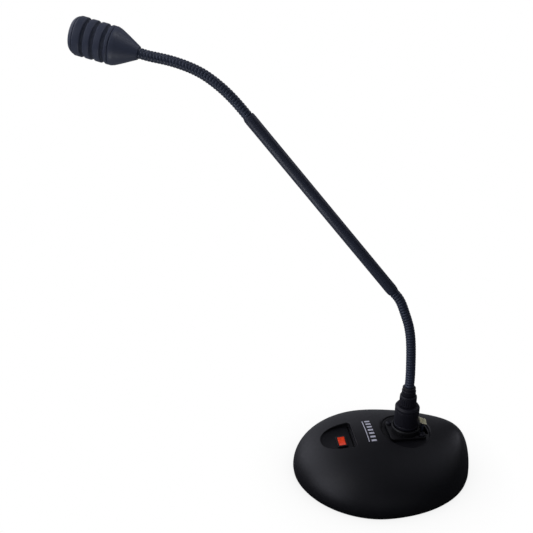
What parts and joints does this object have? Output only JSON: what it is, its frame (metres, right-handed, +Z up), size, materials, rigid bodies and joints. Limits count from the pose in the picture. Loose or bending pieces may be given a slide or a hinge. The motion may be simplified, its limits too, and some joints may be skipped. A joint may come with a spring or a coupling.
{
  "type": "desktop microphone",
  "caption": "Desktop microphone on a weighted pebble-shaped base with a lit rocker, a plug-in stem of two goosenecks and a rigid tube, and a ribbed microphone head.",
  "frame": {"origin": "on the table plane, on the underside of the anti-slip mat, below the widest part of the base", "axes": "+Z up, -Y towards the talker, +X to the talker's right"},
  "size_m": [0.1424, 0.3174, 0.376],
  "materials": {
    "base_shell": "fine moulded texture, satin",
    "dark_plastic": "satin black moulding",
    "connector_black": "satin black",
    "stem_black": "satin black coated steel",
    "head_black": "fine powder coat",
    "steel": "plain machined",
    "zinc": "as cast",
    "brass": "plated, lightly worn",
    "rubber": "matte",
    "red_rocker": "translucent red, gloss",
    "board_green": "solder mask",
    "foam": "open-cell foam"
  },
  "bodies": {
    "base": {"base_cover": "base_shell", "base_plate": "steel", "anti_slip_mat": "rubber", "ballast_weight": "zinc", "base_screw_1": "steel", "base_screw_2": "steel", "base_screw_3": "steel", "base_screw_4": "steel", "circuit_board": "board_green", "board_standoff_1": "brass", "board_standoff_2": "brass", "board_standoff_3": "brass", "board_screw_1": "steel", "board_screw_2": "steel", "board_screw_3": "steel", "switch_housing": "dark_plastic", "switch_terminal_1": "brass", "switch_terminal_2": "brass", "socket_body": "dark_plastic", "socket_insert": "rubber", "socket_contact_1": "brass", "socket_contact_2": "brass", "socket_contact_3": "brass", "flange_screw_1": "stem_black", "flange_screw_2": "stem_black", "output_jack": "dark_plastic", "jack_nut": "steel"},
    "rocker": {"rocker_cap": "red_rocker"},
    "latch": {"release_tab": "brass"},
    "stem_plug": {"plug_shell": "connector_black", "plug_insert": "rubber", "plug_pin_1": "steel", "plug_pin_2": "steel", "plug_pin_3": "steel", "gland_nut": "connector_black", "strain_relief": "connector_black"},
    "lower_link_1": {"lower_link_1": "stem_black"},
    "lower_link_2": {"lower_link_2": "stem_black"},
    "lower_link_3": {"lower_link_3": "stem_black"},
    "lower_link_4": {"lower_link_4": "stem_black"},
    "lower_link_5": {"lower_link_5": "stem_black"},
    "lower_link_6": {"lower_link_6": "stem_black"},
    "stem_tube": {"stem_tube": "stem_black", "signal_cable": "rubber"},
    "upper_link_1": {"upper_link_1": "stem_black"},
    "upper_link_2": {"upper_link_2": "stem_black"},
    "upper_link_3": {"upper_link_3": "stem_black"},
    "upper_link_4": {"upper_link_4": "stem_black"},
    "upper_link_5": {"upper_link_5": "stem_black"},
    "upper_link_6": {"upper_link_6": "stem_black"},
    "head": {"head_rear_cone": "head_black", "head_cage": "head_black", "front_grille": "head_black", "foam_filter": "foam", "capsule_mount": "rubber", "capsule": "steel"}
  },
  "joints": [
    {"name": "rocker_press", "type": "hinge", "parent": "base", "child": "rocker", "pos_m": [0.0042, -0.02754, 0.0319], "axis": [0, 0.9939, 0.1104], "range_deg": [-18, 0]},
    {"name": "latch_press", "type": "slide", "parent": "base", "child": "latch", "axis": [0, 0, -1], "range_m": [0, 0.0016]},
    {"name": "plug_unplug", "type": "slide", "parent": "base", "child": "stem_plug", "axis": [0, 0, 1], "range_m": [0, 0.018]},
    {"name": "lower_bend_1", "type": "hinge", "parent": "stem_plug", "child": "lower_link_1", "pos_m": [0, 0.029, 0.0897], "axis": [0.9692, -0.2462, 0], "range_deg": [-18, 10]},
    {"name": "lower_side_1", "type": "hinge", "parent": "lower_link_1", "child": "lower_link_2", "pos_m": [-0.00011, 0.02855, 0.10262], "axis": [0.2459, 0.9681, 0.0493], "range_deg": [-12, 12]},
    {"name": "lower_bend_2", "type": "hinge", "parent": "lower_link_2", "child": "lower_link_3", "pos_m": [-0.00031, 0.02777, 0.11552], "axis": [0.9692, -0.2462, 0], "range_deg": [-18, 10]},
    {"name": "lower_side_2", "type": "hinge", "parent": "lower_link_3", "child": "lower_link_4", "pos_m": [-0.00064, 0.02647, 0.12837], "axis": [0.2432, 0.9577, 0.1537], "range_deg": [-12, 12]},
    {"name": "lower_bend_3", "type": "hinge", "parent": "lower_link_4", "child": "lower_link_5", "pos_m": [-0.00129, 0.02392, 0.14102], "axis": [0.9692, -0.2462, 0], "range_deg": [-18, 10]},
    {"name": "lower_side_3", "type": "hinge", "parent": "lower_link_5", "child": "lower_link_6", "pos_m": [-0.00236, 0.01972, 0.15319], "axis": [0.2273, 0.895, 0.3838], "range_deg": [-12, 12]},
    {"name": "lower_bend_4", "type": "hinge", "parent": "lower_link_6", "child": "stem_tube", "pos_m": [-0.00374, 0.01428, 0.16495], "axis": [0.9692, -0.2462, 0], "range_deg": [-18, 10]},
    {"name": "upper_bend_1", "type": "hinge", "parent": "stem_tube", "child": "upper_link_1", "pos_m": [-0.03444, -0.10661, 0.31155], "axis": [0.9692, -0.2462, 0], "range_deg": [-18, 12]},
    {"name": "upper_side_1", "type": "hinge", "parent": "upper_link_1", "child": "upper_link_2", "pos_m": [-0.03671, -0.11556, 0.32145], "axis": [0.1704, 0.6709, 0.7217], "range_deg": [-12, 12]},
    {"name": "upper_bend_2", "type": "hinge", "parent": "upper_link_2", "child": "upper_link_3", "pos_m": [-0.03925, -0.12554, 0.33028], "axis": [0.9692, -0.2462, 0], "range_deg": [-18, 12]},
    {"name": "upper_side_2", "type": "hinge", "parent": "upper_link_3", "child": "upper_link_4", "pos_m": [-0.04205, -0.13658, 0.33761], "axis": [0.1138, 0.4479, 0.8868], "range_deg": [-12, 12]},
    {"name": "upper_bend_3", "type": "hinge", "parent": "upper_link_4", "child": "upper_link_5", "pos_m": [-0.04514, -0.14874, 0.34276], "axis": [0.9692, -0.2462, 0], "range_deg": [-18, 12]},
    {"name": "upper_side_3", "type": "hinge", "parent": "upper_link_5", "child": "upper_link_6", "pos_m": [-0.04836, -0.16143, 0.34629], "axis": [0.0554, 0.2181, 0.9743], "range_deg": [-12, 12]},
    {"name": "upper_bend_4", "type": "hinge", "parent": "upper_link_6", "child": "head", "pos_m": [-0.05165, -0.17435, 0.34886], "axis": [0.9692, -0.2462, 0], "range_deg": [-18, 12]}
  ],
  "couplings": [
    {"joint": "lower_bend_2", "follows": "lower_bend_1", "ratio": 1},
    {"joint": "lower_side_2", "follows": "lower_side_1", "ratio": 1},
    {"joint": "lower_bend_3", "follows": "lower_bend_1", "ratio": 1},
    {"joint": "lower_side_3", "follows": "lower_side_1", "ratio": 1},
    {"joint": "lower_bend_4", "follows": "lower_bend_1", "ratio": 1},
    {"joint": "upper_bend_2", "follows": "upper_bend_1", "ratio": 1},
    {"joint": "upper_side_2", "follows": "upper_side_1", "ratio": 1},
    {"joint": "upper_bend_3", "follows": "upper_bend_1", "ratio": 1},
    {"joint": "upper_side_3", "follows": "upper_side_1", "ratio": 1},
    {"joint": "upper_bend_4", "follows": "upper_bend_1", "ratio": 1}
  ]
}
